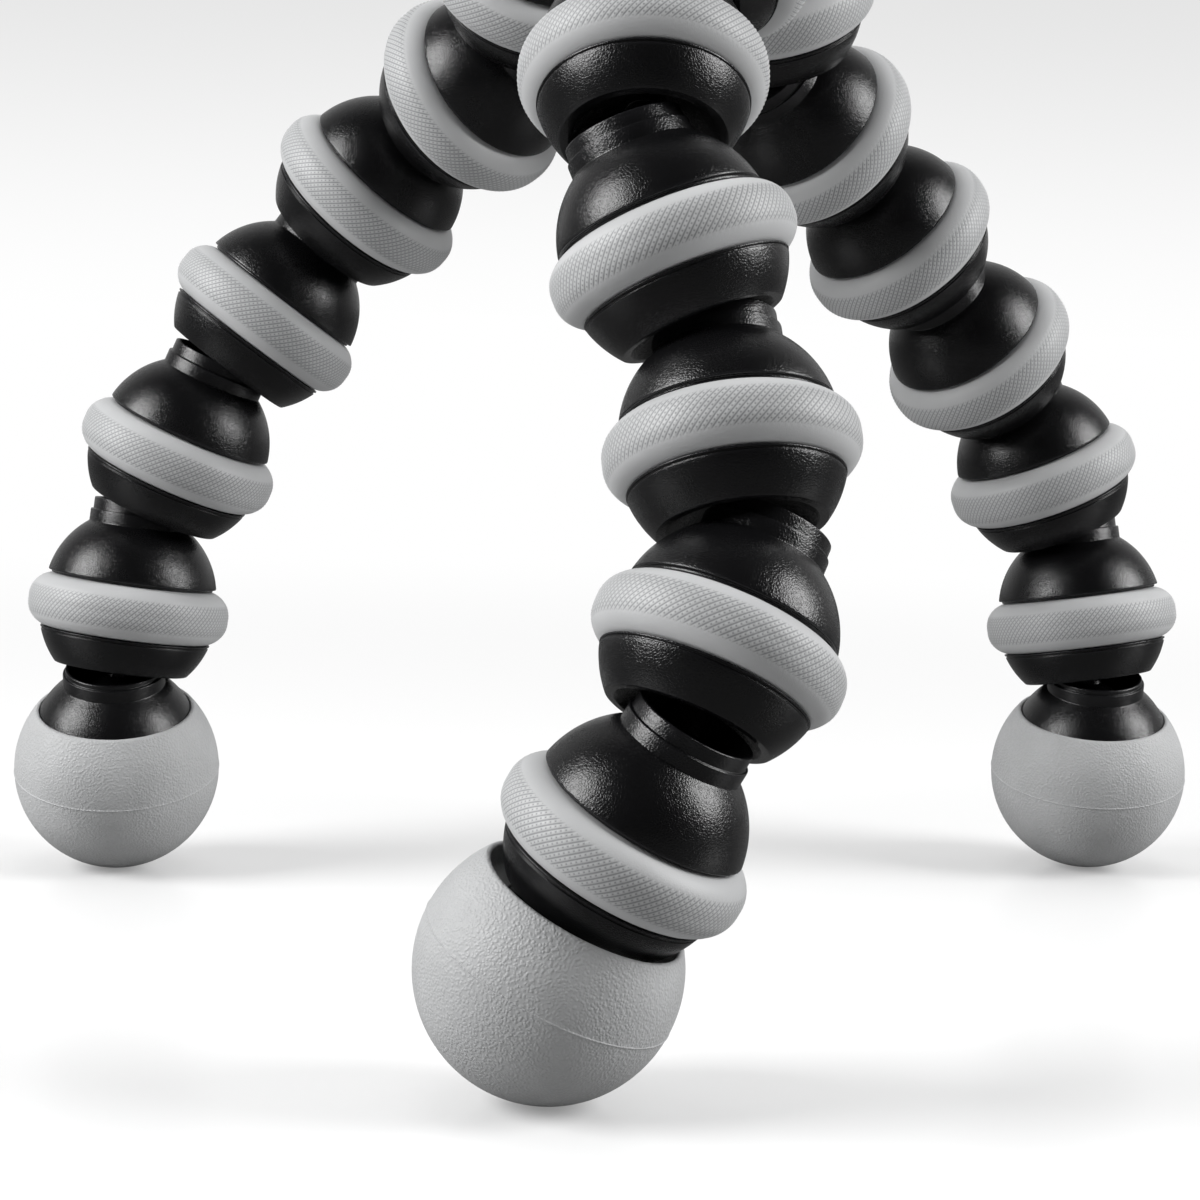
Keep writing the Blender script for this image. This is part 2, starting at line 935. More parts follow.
class Workshop:
    """The lathe and the materials that all assemblies are made with."""

    AROUND = 96

    def __init__(self) -> None:
        """Sets up the lathe and one material for each slot."""
        self.materials = {slot: finish.material() for slot, finish in FINISHES.items()}
        self.lathe = Lathe()

    def turn(
        self,
        name: str,
        outline: Outline,
        stand: Stand,
        slot: Slot,
        node: str,
        around: int = AROUND,
        hatch: Optional[Hatch] = None,
    ) -> None:
        """Turns one piece and dresses its node with it.

        Args:
            name: name of the piece.
            outline: its half section.
            stand: where it stands.
            slot: slot of its finish.
            node: the node that it stands for.
            around: number of columns, where it has no relief.
            hatch: relief, where it has one.
        """
        dress(self.lathe.turn(name, outline, stand, self.materials[slot], around, hatch), slot, node)


@dataclass
class Band:
    """A rubber band with round outer edges."""

    FADE = 0.35
    PLAIN_EVERY = 2

    inner: float
    outer: float
    height: float
    rounding: float
    base: float

    def crown(self, step: float, cells: float, cover: float) -> Outline:
        """Half section whose crown is sampled evenly for a relief, and more coarsely beyond it.

        Args:
            step: distance of its samples along the crown.
            cells: cells of the relief for each millimetre along the crown, or 0 for flutes.
            cover: half length of the crown that carries the relief.

        Returns:
            The closed outline.
        """
        flat = (self.height - 2 * self.rounding) / 2
        reach = int((self.rounding * math.pi / 2 + flat) / step)
        middle, top = self.outer - self.rounding, self.base + self.height
        outline = Outline().to(self.inner, self.base).to(middle, self.base)
        for k in range(-reach, reach + 1):
            s = k * step
            if abs(s) > cover and abs(k) < reach and k % self.PLAIN_EVERY:
                continue
            lean = max(0.0, abs(s) - flat) / self.rounding
            radius = middle + self.rounding * math.cos(lean)
            rise = math.copysign(min(abs(s), flat) + self.rounding * math.sin(lean), s)
            fade = max(0.0, min(1.0, (cover - abs(s)) / (self.FADE * cover)))
            mask = fade * fade * (3 - 2 * fade)
            outline.stations.append(Station(radius, self.base + self.height / 2 + rise, 0.0, s * cells, mask))
        return outline.to(middle, top).to(self.inner, top).to(self.inner, self.base)


@dataclass(frozen=True)
class Joint:
    """Sizes that every ball joint of the tripod shares."""

    ball_r: float = 5.0
    stem_r: float = 1.9
    bore_r: float = 5.12
    hollow_r: float = 10.126
    rim_lift: float = 5.8
    rim_turn: float = 1.5
    neck_r: float = 7.1
    collar_h: float = 1.75
    collar_in: float = 0.35
    lip: float = 6.5
    lip_r: float = 6.3
    throat_r: float = 4.26
    throat_z: float = 2.84
    throat_turn: float = 2.0

    def hanging(self, height: float, shell_r: float, shell_z: float) -> Outline:
        """Starts an outline with a ball, its stem, the hollow round it and the shell's rim.

        Args:
            height: height of the ball's centre.
            shell_r: radius of the shell.
            shell_z: height of the shell's centre.

        Returns:
            The outline, up to the outside of the rim.
        """
        outline = Outline().arc(height, self.ball_r, -90, reach_angle(self.stem_r, self.ball_r), 10)
        roof = reach_angle(self.stem_r, self.hollow_r)
        outline.arc(height, self.hollow_r, roof, height_angle(self.rim_lift, self.hollow_r), 9)
        rim_z = height + self.rim_lift
        return outline.to(math.sqrt(shell_r**2 - (rim_z - shell_z) ** 2), rim_z)

    def neck(self, outline: Outline, base: float) -> Outline:
        """Adds a neck in two steps on top of a dome, and the cup inside it.

        Args:
            outline: what leads up to the neck.
            base: height at which the dome reaches the neck.

        Returns:
            The outline, closed at the bottom of the bore.
        """
        inner = self.neck_r - self.collar_in
        outline.to(self.neck_r, base + self.collar_h).to(inner, base + self.collar_h)
        return self.throat(outline.to(inner, self.lip), self.lip_r, self.lip)

    def throat(self, outline: Outline, radius: float, height: float) -> Outline:
        """Adds the throat over the ball, and its bore.

        Args:
            outline: what leads up to the throat's edge.
            radius: radius of that edge.
            height: height of that edge.

        Returns:
            The finished outline.
        """
        outline.to(radius, height).to(self.throat_r, self.throat_z)
        start = height_angle(self.throat_z, self.bore_r) - self.throat_turn
        return outline.arc(0.0, self.bore_r, start, -90, 8)


@dataclass
class Link:
    """One moulded link with its grip ring, modelled round the centre of its cup."""

    joint: Joint = Joint()
    rise: float = 8.6
    drop: float = 14.4
    dome_r: float = 12.0
    dome_lift: float = 2.0
    shell_r: float = 12.4
    shell_sink: float = 0.4
    fillet: float = 0.25
    waist_r: float = 10.3
    ring_r: float = 14.0
    ring_h: float = 7.6
    ring_round: float = 3.4
    ring_gap: float = 0.02
    line_w: float = 0.36
    line_in: float = 0.55
    bead_h: float = 0.5
    bead_in: float = 0.16
    bead_share: float = 0.55
    bead_turn: float = 0.2
    hatch: Hatch = Hatch(around=110, depth=0.045, samples=4)
    hatch_cover: float = 2.9

    def body(self) -> Outline:
        """Half section of the black moulding, from the bottom of its ball to the bore of its cup."""
        half, pitch = self.ring_h / 2, self.rise + self.drop
        shell_z, dome_z = -self.rise - self.shell_sink, -self.rise + self.dome_lift
        outline = self.joint.hanging(-pitch, self.shell_r, shell_z)
        rim = height_angle(self.joint.rim_lift - pitch - shell_z, self.shell_r)
        under = self.shell_sink - half
        bead = height_angle(under - self.bead_h, self.shell_r)
        lip = height_angle(under - self.bead_h * self.bead_share, self.shell_r)
        outline.arc(shell_z, self.shell_r, rim + self.joint.rim_turn, bead, 12)
        outline.arc(shell_z, self.shell_r - self.bead_in, bead, lip, 1)
        outline.arc(shell_z, self.shell_r, lip + self.bead_turn, height_angle(under, self.shell_r), 1)
        outline.to(self.waist_r - self.ring_gap, -self.rise - half)
        outline.to(self.waist_r - self.ring_gap, -self.rise + half)
        line_r = math.sqrt(self.dome_r**2 - (half - self.dome_lift) ** 2) - self.line_in
        outline.to(line_r, -self.rise + half).to(line_r, -self.rise + half + self.line_w)
        foot = height_angle(half + self.line_w - self.dome_lift, self.dome_r)
        outline.arc(dome_z, self.dome_r, foot, reach_angle(self.joint.neck_r, self.dome_r), 22)
        base = dome_z + math.sqrt(self.dome_r**2 - self.joint.neck_r**2)
        return self.joint.neck(outline, base).softened(self.fillet)

    def ring(self) -> Outline:
        """Half section of the grip ring, with its crown sampled for the hatch."""
        base = -self.rise - self.ring_h / 2 + self.ring_gap
        band = Band(self.waist_r, self.ring_r, self.ring_h - 2 * self.ring_gap, self.ring_round, base)
        cell = TURN * self.ring_r / self.hatch.around
        return band.crown(cell / self.hatch.samples, 1 / cell, self.hatch_cover)


@dataclass
class Foot:
    """A rubber ball moulded over a hard core that carries the last cup."""

    lean: float
    heading: float
    mouth_h: float
    drop: float
    core_r: float
    core_drop: float
    pocket_r: float = 0.0
    pocket_floor: float = 0.0
    radius: float = 14.4
    mouth_fillet: float = 0.9
    core_gap: float = 0.01
    core_fillet: float = 0.25
    pocket_fillet: float = 0.2
    seam_h: float = 0.072
    seam_w: float = 0.24
    seam_gap: float = 2.0
    around: int = 144
    joint: Joint = Joint()

    def rubber(self) -> Outline:
        """Half section of the rubber, from its lowest point round the mouth to the bottom of its core."""
        outline = Outline().arc(-self.drop, self.radius, -90, -self.seam_gap, 40)
        half = self.seam_w / 2 / self.radius
        for angle, seam in ((-half, 0.0), (-half / 2, 1.0), (half / 2, 1.0), (half, 0.0)):
            r = self.radius + seam * self.seam_h
            outline.stations.append(Station(r * math.cos(angle), -self.drop + r * math.sin(angle), seam))
        outline.arc(-self.drop, self.radius, self.seam_gap, height_angle(self.mouth_h, self.radius), 18)
        meet = self.mouth_h - self.drop
        if self.pocket_r:
            outline.to(self.pocket_r, meet).to(self.pocket_r, self.pocket_floor)
            meet = self.pocket_floor
        outline.arc(-self.core_drop, self.core_r, height_angle(meet + self.core_drop, self.core_r), -90, 20)
        return outline.softened(self.mouth_fillet, worn=0.0)

    def core(self) -> Outline:
        """Half section of the hard core with its cup."""
        core_r, joint = self.core_r - self.core_gap, self.joint
        if self.pocket_r:
            top = height_angle(self.pocket_floor + self.core_drop, core_r)
            outline = Outline().arc(-self.core_drop, core_r, -90, top, 28)
            slope = (joint.lip_r - joint.throat_r) / (joint.lip - joint.throat_z)
            edge = joint.throat_r + slope * (self.pocket_floor - joint.throat_z)
            return joint.throat(outline, edge, self.pocket_floor).softened(self.pocket_fillet)
        outline = Outline().arc(-self.core_drop, core_r, -90, reach_angle(joint.neck_r, core_r), 34)
        base = -self.core_drop + math.sqrt(core_r**2 - joint.neck_r**2)
        return joint.neck(outline, base).softened(self.core_fillet)


SIDE_FOOT = {"heading": -90.0, "mouth_h": 9.2, "drop": 9.0, "core_r": 12.0, "core_drop": 5.6}
FEET = {
    Leg.FRONT: Foot(
        lean=27.0,
        heading=-16.0,
        mouth_h=8.4,
        drop=1.6,
        core_r=9.5,
        core_drop=1.6,
        pocket_r=11.1,
        pocket_floor=4.0,
    ),
    Leg.LEFT: Foot(lean=15.8833, **SIDE_FOOT),
    Leg.RIGHT: Foot(lean=12.6808, **SIDE_FOOT),
}


@dataclass
class FlexLeg:
    """One leg: seven links with their rings, and a foot."""

    leg: Leg
    foot: Foot
    link: Link = field(default_factory=Link)

    def build(self, shop: Workshop) -> None:
        """Turns and dresses every piece of the leg.

        Args:
            shop: lathe and materials.
        """
        name = self.leg.value
        spots = [JOINT_AT[f"{name}_ball_{i}"] for i in range(1, LINKS + 1)] + [JOINT_AT[f"{name}_foot_ball"]]
        body, ring, hatch = self.link.body(), self.link.ring(), self.link.hatch
        for i, (cup, ball) in enumerate(zip(spots, spots[1:]), 1):
            stand = Stand.along(cup, cup - ball)
            shop.turn(f"{name}_link_body_{i}", body, stand, Slot.LINK, f"{name}_link_{i}")
            shop.turn(f"{name}_grip_ring_{i}", ring, stand, Slot.RING, f"{name}_ring_{i}", hatch=hatch)
        stand = Stand(spots[-1], math.radians(self.foot.lean), math.radians(self.foot.heading))
        rubber, around = self.foot.rubber(), self.foot.around
        shop.turn(f"{name}_foot_rubber", rubber, stand, Slot.FOOT, f"{name}_foot", around)
        shop.turn(f"{name}_foot_shoulder", self.foot.core(), stand, Slot.LINK, f"{name}_foot_core")


@dataclass(frozen=True)
class ButtonScrew:
    """A small screw with a round head and a hexagon socket."""

    CROWN = ((0.93, 0.55), (0.8, 0.9), (0.68, 1.0))

    head_r: float = 1.9
    head_h: float = 1.2
    head_lift: float = 0.02
    crown_h: float = 0.35
    shank_r: float = 1.1
    length: float = 7.0
    socket_flat: float = 0.95
    socket_flare: float = 1.06
    socket_bevel: float = 0.08
    socket_deep: float = 0.75
    socket_cone: float = 0.2
    tip_r: float = 0.001
    around: int = 48

    def mesh(self) -> bpy.types.Mesh:
        """Builds the screw round the origin, with the lid's face at z = 0."""
        n = self.around
        turns = TURN * np.arange(n) / n
        hexagon = self.socket_flat / np.cos((turns + TURN / 12) % (TURN / 6) - TURN / 12)
        full = np.ones(n)
        rows = [
            (self.tip_r * full, -self.length),
            (self.shank_r * full, -self.length),
            (self.shank_r * full, -self.head_h),
            (self.head_r * full, -self.head_h),
            (self.head_r * full, self.head_lift),
            *((out * self.head_r * full, up * self.crown_h) for out, up in self.CROWN),
            (self.socket_flare * hexagon, self.crown_h),
            (hexagon, self.crown_h - self.socket_bevel),
            (hexagon, self.crown_h - self.socket_deep),
            (self.tip_r * full, self.crown_h - self.socket_deep - self.socket_cone),
        ]
        points = [
            (r * math.cos(t) * MM, r * math.sin(t) * MM, height * MM)
            for radii, height in rows
            for r, t in zip(radii, turns)
        ]
        faces = [
            (i * n + k, i * n + (k + 1) % n, (i + 1) * n + (k + 1) % n, (i + 1) * n + k)
            for i in range(len(rows) - 1)
            for k in range(n)
        ]
        faces += [tuple(reversed(range(n))), tuple(range((len(rows) - 1) * n, len(rows) * n))]
        mesh = bpy.data.meshes.new("button_screw")
        mesh.from_pydata(points, [], faces)
        mesh.shade_smooth()
        return mesh


@dataclass
class Hub:
    """The piece that the three legs hang from, with its lid and screws."""

    AZIMUTHS = {Leg.FRONT: -70.0, Leg.LEFT: 170.0, Leg.RIGHT: 50.0}

    joint: Joint = Joint()
    screw: ButtonScrew = ButtonScrew()
    shell_r: float = 12.4
    shell_z: float = 14.0
    shell_fillet: float = 0.22
    stem_tilt: float = 30.0
    height: float = 23.0
    middle_h: float = 12.5
    middle_fillet: float = 0.3
    boss_r: float = 5.0
    boss_lift: float = 4.0
    low_r: float = 19.5
    low_bevel: float = 1.2
    low_round: float = 0.4
    groove: float = 0.35
    groove_low: float = 2.9
    groove_top: float = 2.4
    cap_r: float = 18.0
    cap_h: float = 2.6
    cap_gap: float = 0.02
    cap_step: float = 0.3
    cap_bevel: float = 0.7
    cap_fillet: float = 0.35
    screw_circle_r: float = 15.0
    around: int = 144

    def shell(self) -> Outline:
        """Half section of one shell with its ball, closed on top."""
        outline = self.joint.hanging(0.0, self.shell_r, self.shell_z)
        rim = height_angle(self.joint.rim_lift - self.shell_z, self.shell_r) + self.joint.rim_turn
        return outline.arc(self.shell_z, self.shell_r, rim, 90, 30).softened(self.shell_fillet)

    def middle(self) -> Outline:
        """Half section of the body between the shells, with a groove under the lid."""
        low = self.height - self.middle_h
        slope = (self.low_r - self.cap_r) / self.middle_h
        outline = Outline().to(0.0, self.boss_lift).to(self.boss_r, self.boss_lift).to(self.boss_r, low)
        outline.to(self.low_r - self.low_bevel, low).to(self.low_r - self.low_round, low + self.low_round)
        outline.to(self.low_r - self.low_bevel * slope, low + self.low_bevel)
        corners = ((self.groove_low, 0.0), (self.groove_low, self.groove))
        corners += ((self.groove_top, self.groove), (self.groove_top, 0.0))
        for down, inset in corners:
            outline.to(self.cap_r + slope * down - inset, self.height - down)
        return outline.to(self.cap_r, self.height).to(0.0, self.height).softened(self.middle_fillet)

    def lid(self) -> Outline:
        """Half section of the lid, with a step under its rim."""
        base, step, top = self.height + self.cap_gap, self.height + self.cap_step, self.height + self.cap_h
        inner = self.cap_r - self.groove
        outline = Outline().to(0.0, base).to(inner, base).to(inner, step).to(self.cap_r, step)
        outline.to(self.cap_r, top - self.cap_bevel).to(self.cap_r - self.cap_bevel, top)
        return outline.to(0.0, top).softened(self.cap_fillet)

    def build(self, shop: Workshop) -> None:
        """Turns and dresses the hub.

        Args:
            shop: lathe and materials.
        """
        level = JOINT_AT[f"{Leg.FRONT.value}_ball_1"].z
        axis = Stand(Vector((0.0, 0.0, level)))
        for leg, azimuth in self.AZIMUTHS.items():
            lean, heading = math.radians(self.stem_tilt), math.radians(azimuth + 180)
            stand = Stand(JOINT_AT[f"{leg.value}_ball_1"], lean, heading)
            shop.turn(f"hub_shell_{leg.value}", self.shell(), stand, Slot.LINK, "hub_body")
        shop.turn("hub_middle", self.middle(), axis, Slot.LINK, "hub_body", self.around)
        shop.turn("hub_lid", self.lid(), axis, Slot.HEAD, "hub_cap", self.around)
        values = {
            "Copies": len(self.AZIMUTHS),
            "Radius": self.screw_circle_r * MM,
            "Start": math.radians(self.AZIMUTHS[Leg.RIGHT]),
            "Place": Vector((0.0, 0.0, level + (self.height + self.cap_h) * MM)),
            "Material": shop.materials[Slot.STEEL],
        }
        dress(Spread().run("lid_screws", self.screw.mesh(), values), Slot.STEEL, "hub_screws")


@dataclass
class Head:
    """Ball head: socket, locking collar, ball, stud and platform."""

    ball_r: float = 8.0
    ball_play: float = 0.12
    ball_fillet: float = 0.4
    socket_r: float = 12.0
    socket_lip: float = 2.5
    socket_bevel: float = 0.8
    socket_groove: float = 0.45
    socket_groove_half: float = 0.3
    socket_fillet: float = 0.3
    ball_h: float = 14.0
    collar_z: float = 3.0
    collar_h: float = 9.0
    collar_bore_r: float = 12.06
    collar_wall: float = 1.8
    collar_r: float = 16.5
    collar_fillet: float = 0.35
    collar_flutes: Hatch = Hatch(around=36, depth=0.25, samples=8)
    collar_step: float = 0.35
    collar_cover: float = 3.4
    grip_inset: float = 0.8
    grip_round: float = 1.2
    neck_r: float = 4.6
    neck_l: float = 14.0
    flare_l: float = 2.2
    flare_w: float = 1.2
    shoulder_r: float = 9.0
    shoulder_h: float = 2.0
    stud_r: float = 3.175
    shank_r: float = 2.9
    shank_play: float = 0.02
    stud_foot: float = 10.0
    stud_top: float = 28.25
    stud_bevel: float = 0.6
    stud_step: float = 0.3
    stud_around: int = 64
    thread_pitch: float = 1.27
    thread_deep: float = 0.5
    thread_low: float = 0.6
    thread_end: float = 0.9
    wheel_z: float = 16.15
    wheel_r: float = 16.8
    wheel_h: float = 5.0
    wheel_bore_r: float = 2.96
    wheel_flutes: Hatch = Hatch(around=60, depth=0.2, samples=8)
    wheel_step: float = 0.3
    wheel_cover: float = 2.3
    wheel_fillet: float = 0.25
    recess: tuple[float, float] = (10.2, 15.0)
    recess_side: float = 0.4
    recess_deep: float = 0.9
    platform_r: float = 19.0
    pad_bore_r: float = 5.0
    pad_h: float = 1.6
    pad_grooves: int = 6
    pad_groove: tuple[float, float, float] = (0.4, 0.2, 0.45)
    pad_fillet: float = 0.2
    around: int = 128

    def socket(self) -> Outline:
        """Half section of the socket, from under it to the bottom of its bore."""
        outer, inner, half = self.socket_r, self.socket_r - self.socket_groove, self.socket_groove_half
        bore = self.ball_r + self.ball_play
        outline = Outline().to(0.0, -self.ball_h).to(outer, -self.ball_h)
        outline.to(outer, -half).to(inner, -half).to(inner, half).to(outer, half)
        outline.to(outer, self.socket_lip - self.socket_bevel).to(outer - self.socket_bevel, self.socket_lip)
        outline.arc(0.0, bore, height_angle(self.socket_lip, bore), -90, 16)
        return outline.softened(self.socket_fillet)

    def sleeve(self) -> Outline:
        """Half section of the locking collar's hard sleeve."""
        low = self.collar_z - self.ball_h
        inner, outer = self.collar_bore_r, self.collar_bore_r + self.collar_wall
        outline = Outline().to(inner, low).to(outer, low).to(outer, low + self.collar_h)
        return outline.to(inner, low + self.collar_h).to(inner, low).softened(self.collar_fillet)

    def collar_grip(self) -> Outline:
        """Half section of the collar's rubber."""
        low = self.collar_z - self.ball_h + self.grip_inset
        inner, outer = self.collar_bore_r + self.collar_wall, self.collar_r - self.collar_flutes.depth
        band = Band(inner, outer, self.collar_h - 2 * self.grip_inset, self.grip_round, low)
        return band.crown(self.collar_step, 0.0, self.collar_cover)

    def ball(self) -> Outline:
        """Half section of the ball with its neck and shoulder."""
        top, bore = self.neck_l + self.shoulder_h, self.shank_r + self.shank_play
        outline = Outline().arc(0.0, self.ball_r, -90, reach_angle(self.neck_r, self.ball_r), 28)
        outline.to(self.neck_r, self.neck_l - self.flare_l).to(self.neck_r + self.flare_w, self.neck_l)
        outline.to(self.shoulder_r, self.neck_l).to(self.shoulder_r, top)
        outline.to(bore, top).to(bore, self.stud_foot)
        return outline.to(0.0, self.stud_foot).softened(self.ball_fillet)

    def stud_core(self) -> Outline:
        """Half section of the stud under its thread."""
        core, wheel_top, bevel = self.stud_r - self.thread_deep, self.wheel_z + self.wheel_h, self.stud_bevel
        outline = Outline().to(0.0, self.stud_foot).to(self.shank_r, self.stud_foot)
        outline.to(self.shank_r, wheel_top).to(core, wheel_top + self.stud_step)
        return outline.to(core, self.stud_top - bevel).to(core - bevel, self.stud_top).to(0.0, self.stud_top)

    def wheel(self) -> Outline:
        """Half section of the platform wheel, with a recess in its underside."""
        low, high, roof = self.wheel_z, self.wheel_z + self.wheel_h, self.wheel_z + self.recess_deep
        inner, outer = self.recess
        outline = Outline().to(self.wheel_bore_r, low).to(inner, low).to(inner + self.recess_side, roof)
        outline.to(outer - self.recess_side, roof).to(outer, low).to(self.wheel_r, low).to(self.wheel_r, high)
        return outline.to(self.wheel_bore_r, high).to(self.wheel_bore_r, low).softened(self.wheel_fillet)

    def platform_grip(self) -> Outline:
        """Half section of the wheel's rubber."""
        outer = self.platform_r - self.wheel_flutes.depth
        band = Band(self.wheel_r, outer, self.wheel_h, self.grip_round, self.wheel_z)
        return band.crown(self.wheel_step, 0.0, self.wheel_cover)

    def pad(self) -> Outline:
        """Half section of the rubber pad, with its round grooves."""
        low = self.wheel_z + self.wheel_h
        top = low + self.pad_h
        outline = Outline().to(self.pad_bore_r, low).to(self.wheel_r, low).to(self.wheel_r, top)
        span = (self.wheel_r - self.pad_bore_r) / self.pad_grooves
        wide, narrow, deep = self.pad_groove
        for k in range(self.pad_grooves):
            middle = self.wheel_r - (k + 0.5) * span
            for across, down in ((wide, 0.0), (narrow, deep), (-narrow, deep), (-wide, 0.0)):
                outline.to(middle + across, top - down)
        return outline.to(self.pad_bore_r, top).to(self.pad_bore_r, low).softened(self.pad_fillet)

    def stud(self, shop: Workshop, stand: Stand) -> bpy.types.Object:
        """Turns the stud and winds its thread.

        Args:
            shop: lathe and materials.
            stand: centre of the ball.

        Returns:
            The stud.
        """
        steel = shop.materials[Slot.STEEL]
        core = shop.lathe.turn("stud_core", self.stud_core(), stand, steel, self.stud_around)
        mesh = core.data.copy()
        bpy.data.objects.remove(core)
        low = self.wheel_z + self.wheel_h + self.thread_low
        length = self.stud_top - self.thread_end - low
        values = {
            "Radius": (self.stud_r - self.thread_deep) * MM,
            "Length": length * MM,
            "Turns": length / self.thread_pitch,
            "Ridge": self.thread_deep * MM,
            "Place": stand.origin + Vector((0.0, 0.0, low * MM)),
            "Material": steel,
        }
        return ThreadCutter().run("threaded_stud", mesh, values, ThreadCutter.SHARP)

    def build(self, shop: Workshop) -> None:
        """Turns and dresses the head.

        Args:
            shop: lathe and materials.
        """
        stand = Stand(JOINT_AT["head_tilt"])
        plain = [
            ("ball_socket", self.socket(), Slot.HEAD, "head_socket"),
            ("collar_sleeve", self.sleeve(), Slot.HEAD, "lock_collar"),
            ("ball_and_neck", self.ball(), Slot.BALL, "head_ball"),
            ("wheel", self.wheel(), Slot.HEAD, "platform_wheel"),
            ("camera_pad", self.pad(), Slot.FOOT, "platform_pad"),
        ]
        for name, outline, slot, node in plain:
            shop.turn(name, outline, stand, slot, node, self.around)
        fluted = [
            ("collar_rubber", self.collar_grip(), self.collar_flutes, "collar_grip"),
            ("wheel_rubber", self.platform_grip(), self.wheel_flutes, "platform_grip"),
        ]
        for name, outline, flutes, node in fluted:
            shop.turn(name, outline, stand, Slot.RING, node, hatch=flutes)
        dress(self.stud(shop, stand), Slot.STEEL, "camera_stud")


@dataclass(frozen=True)
class SoftBox:
    """A round soft lamp: its direction from the object, its distance and size in metres, and its power."""

    name: str
    away: Triple
    distance: float
    size: tuple[float, float]
    watts: float
    mirrored: bool = True

    def hang(self, target: Vector) -> None:
        """Hangs the lamp so that it faces the object.

        Args:
            target: middle of the object.
        """
        data = bpy.data.lights.new(self.name, "AREA")
        data.shape = "ELLIPSE"
        data.size, data.size_y = self.size
        data.energy = self.watts
        away = Vector(self.away)
        lamp = put(self.name, data)
        lamp.location = target + away.normalized() * self.distance
        lamp.rotation_euler = (-away).to_track_quat("-Z", "Y").to_euler()
        lamp.visible_glossy = self.mirrored


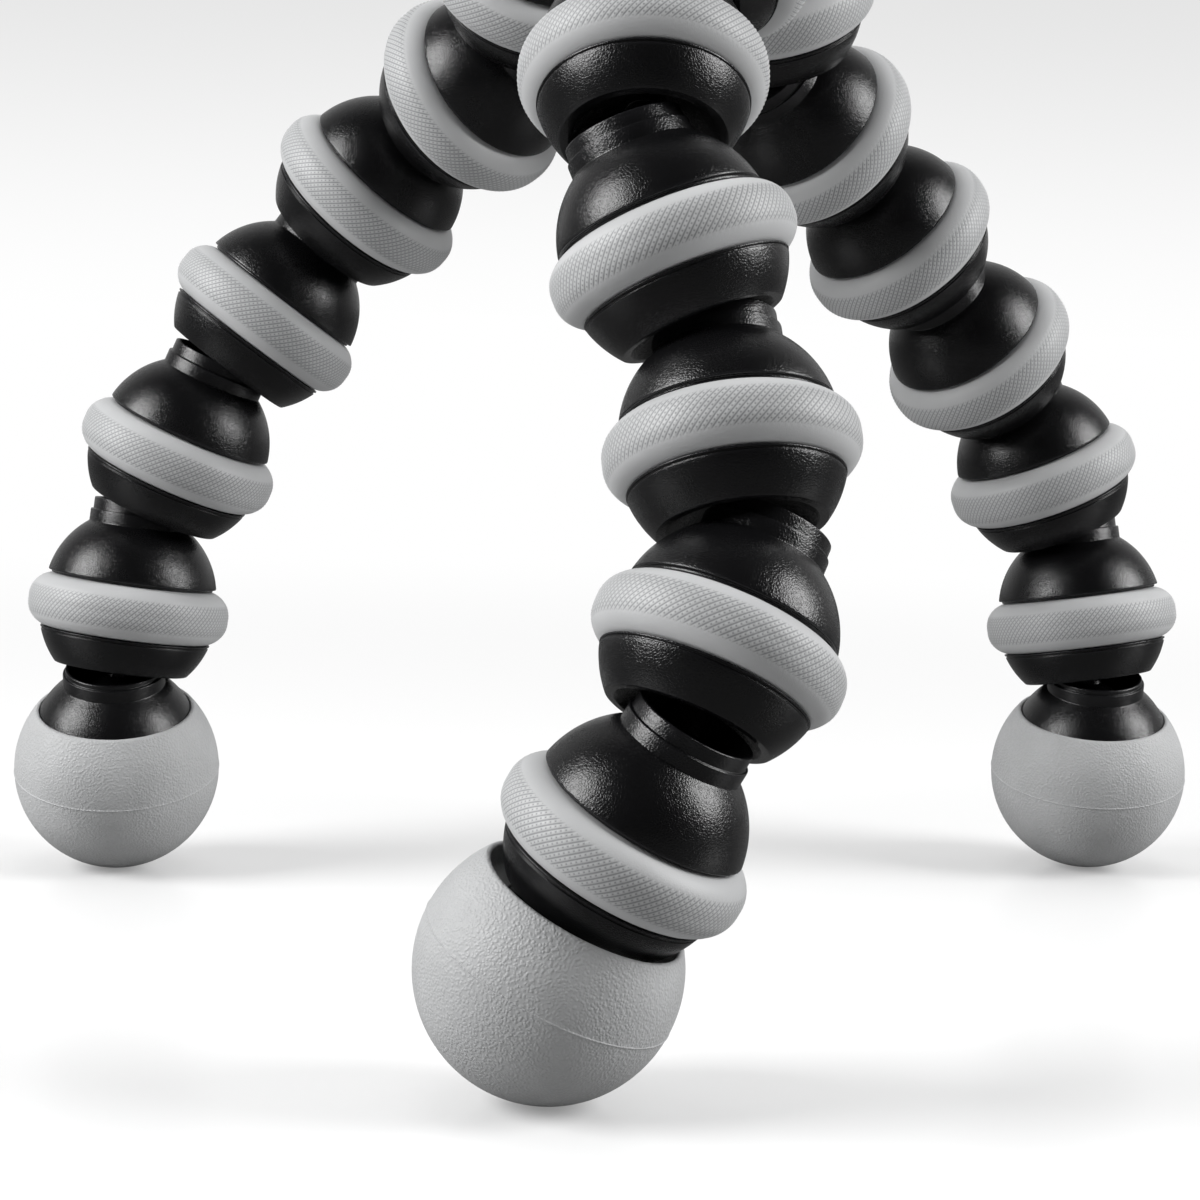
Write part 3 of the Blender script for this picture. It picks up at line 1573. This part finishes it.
@dataclass
class Studio:
    """Camera, floor, lamps and background of the photograph."""

    WHITE = (1.0, 1.0, 1.0)
    BOXES = (
        SoftBox("left_box", (-0.86, -0.27, 0.46), 0.9, (0.56, 0.62), 10.5),
        SoftBox("right_box", (0.90, -0.08, 0.42), 0.9, (0.5, 0.62), 8.5),
        SoftBox("top_box", (0.05, 0.15, 1.0), 1.1, (0.9, 0.9), 3.0, mirrored=False),
    )

    eye: Triple = (-10.25, -375.61, 88.85)
    yaw: float = 0.1136
    pitch: float = 6.5909
    roll: float = -1.954
    focal_px: float = 2966.0
    frame_px: float = 1200.0
    sensor: float = 36.0
    clip: tuple[float, float] = (0.01, 50.0)
    target: Triple = (0.0, -10.0, 90.0)
    floor_r: float = 4.0
    floor_sides: int = 96
    floor_rough: float = 0.22
    floor_shine: float = 0.35
    paper_seen: float = 0.9
    paper_unseen: float = 0.35
    paper_mirrored: float = 0.12
    glow_mirrored: float = 0.14
    glow_near: float = 0.25
    glow_from: tuple[float, float] = (0.12, 0.5)
    backdrop: float = 0.5
    backdrop_from: tuple[float, float] = (0.0, 0.9)
    fill: float = 0.6
    fill_from: tuple[float, float] = (-0.5, 0.5)
    least: float = 0.02
    dusk: float = 0.24
    dusk_from: tuple[float, float] = (-0.03, 0.12)

    def camera(self) -> None:
        """Makes the camera that the photograph was taken from."""
        yaw, pitch, roll = (math.radians(a) for a in (self.yaw, self.pitch, self.roll))
        ahead = Vector((math.sin(yaw) * math.cos(pitch), math.cos(yaw) * math.cos(pitch), -math.sin(pitch)))
        level = Vector((math.cos(yaw), -math.sin(yaw), 0.0))
        upright = level.cross(ahead)
        up = upright * math.cos(roll) + level * math.sin(roll)
        right = level * math.cos(roll) - upright * math.sin(roll)
        data = bpy.data.cameras.new("photo_camera")
        data.sensor_width = self.sensor
        data.lens = self.sensor * self.focal_px / self.frame_px
        data.clip_start, data.clip_end = self.clip
        camera = put("photo_camera", data)
        turned = Matrix((right, up, -ahead)).transposed().to_4x4()
        camera.matrix_world = Matrix.Translation(Vector(self.eye) * MM) @ turned
        bpy.context.scene.camera = camera

    def floor(self) -> None:
        """Lays a round floor: paper near the object, white far off, dim in reflections, open from below."""
        turns = [TURN * k / self.floor_sides for k in range(self.floor_sides)]
        rim = [(math.cos(t) * self.floor_r, math.sin(t) * self.floor_r, 0.0) for t in turns]
        mesh = bpy.data.meshes.new("pale_floor")
        mesh.from_pydata(rim, [], [list(range(self.floor_sides))])
        material = bpy.data.materials.new("pale_floor")
        tree = Tree.emptied(material)
        place = tree.node("ShaderNodeTexCoord", output="Object")
        far = tree.node("ShaderNodeVectorMath", {"operation": "LENGTH"}, {"Vector": place}, "Value")
        rays = tree.node("ShaderNodeLightPath", output="Is Camera Ray")
        mirror = rays.also("Is Glossy Ray")
        seen = tree.math("MAXIMUM", tree.math("MAXIMUM", rays, mirror), rays.also("Is Transmission Ray"))
        lit = tree.blend(seen, tone(self.WHITE, self.paper_unseen), tone(self.WHITE, self.paper_seen))
        paper = tree.blend(mirror, lit, tone(self.WHITE, self.paper_mirrored))
        inputs = {"Base Color": paper, "Roughness": self.floor_rough, "Specular IOR Level": self.floor_shine}
        sheet = tree.node("ShaderNodeBsdfPrincipled", None, inputs)
        strength = 1 - mirror * (1 - self.glow_mirrored)
        glow = tree.node("ShaderNodeEmission", None, {"Color": tree.full(self.WHITE), "Strength": strength})
        factor = seen * (far.step(*self.glow_from) * (1 - self.glow_near) + self.glow_near)
        shown = tree.node("ShaderNodeMixShader", None, {"Fac": factor, "Shader": sheet, "Shader_001": glow})
        below = tree.node("ShaderNodeNewGeometry", output="Backfacing")
        clear = tree.node("ShaderNodeBsdfTransparent")
        both = tree.node("ShaderNodeMixShader", None, {"Fac": below, "Shader": shown, "Shader_001": clear})
        tree.node("ShaderNodeOutputMaterial", None, {"Surface": both})
        mesh.materials.append(material)
        floor = put("pale_floor", mesh)

    def world(self) -> None:
        """Sets the white background, which is dim in reflections and a weak light from behind."""
        world = bpy.data.worlds.new("white_room")
        tree = Tree.emptied(world)
        rays = tree.node("ShaderNodeLightPath", output="Is Camera Ray")
        mirror = rays.also("Is Glossy Ray")
        towards = tree.node("ShaderNodeTexCoord", output="Generated")
        split = tree.node("ShaderNodeSeparateXYZ", None, {"Vector": towards})
        behind = split.also("Y")
        glossy = mirror * (behind.step(*self.backdrop_from) * self.backdrop + self.least)
        fill = (1 - mirror) * (behind.step(*self.fill_from) * self.fill + self.least)
        dusk = split.also("Z").step(*self.dusk_from) * self.dusk
        shown = tree.math("MAXIMUM", rays, rays.also("Is Transmission Ray")) * (1 - dusk)
        level = tree.math("MAXIMUM", shown, glossy + fill)
        back = tree.node("ShaderNodeBackground", None, {"Color": tree.full(self.WHITE), "Strength": level})
        tree.node("ShaderNodeOutputWorld", None, {"Surface": back})
        bpy.context.scene.world = world

    def build(self) -> None:
        """Sets up the whole studio."""
        self.camera()
        self.floor()
        self.world()
        for box in self.BOXES:
            box.hang(Vector(self.target) * MM)
        bpy.context.scene.view_settings.view_transform = "Standard"


def main() -> None:
    """Builds the tripod from its feet to its head, and the studio round it."""
    logging.basicConfig(level=logging.INFO, format="%(name)s: %(message)s")
    Studio().build()
    shop = Workshop()
    for leg, foot in FEET.items():
        FlexLeg(leg, foot).build(shop)
    Hub().build(shop)
    Head().build(shop)


if __name__ == "__main__":
    main()
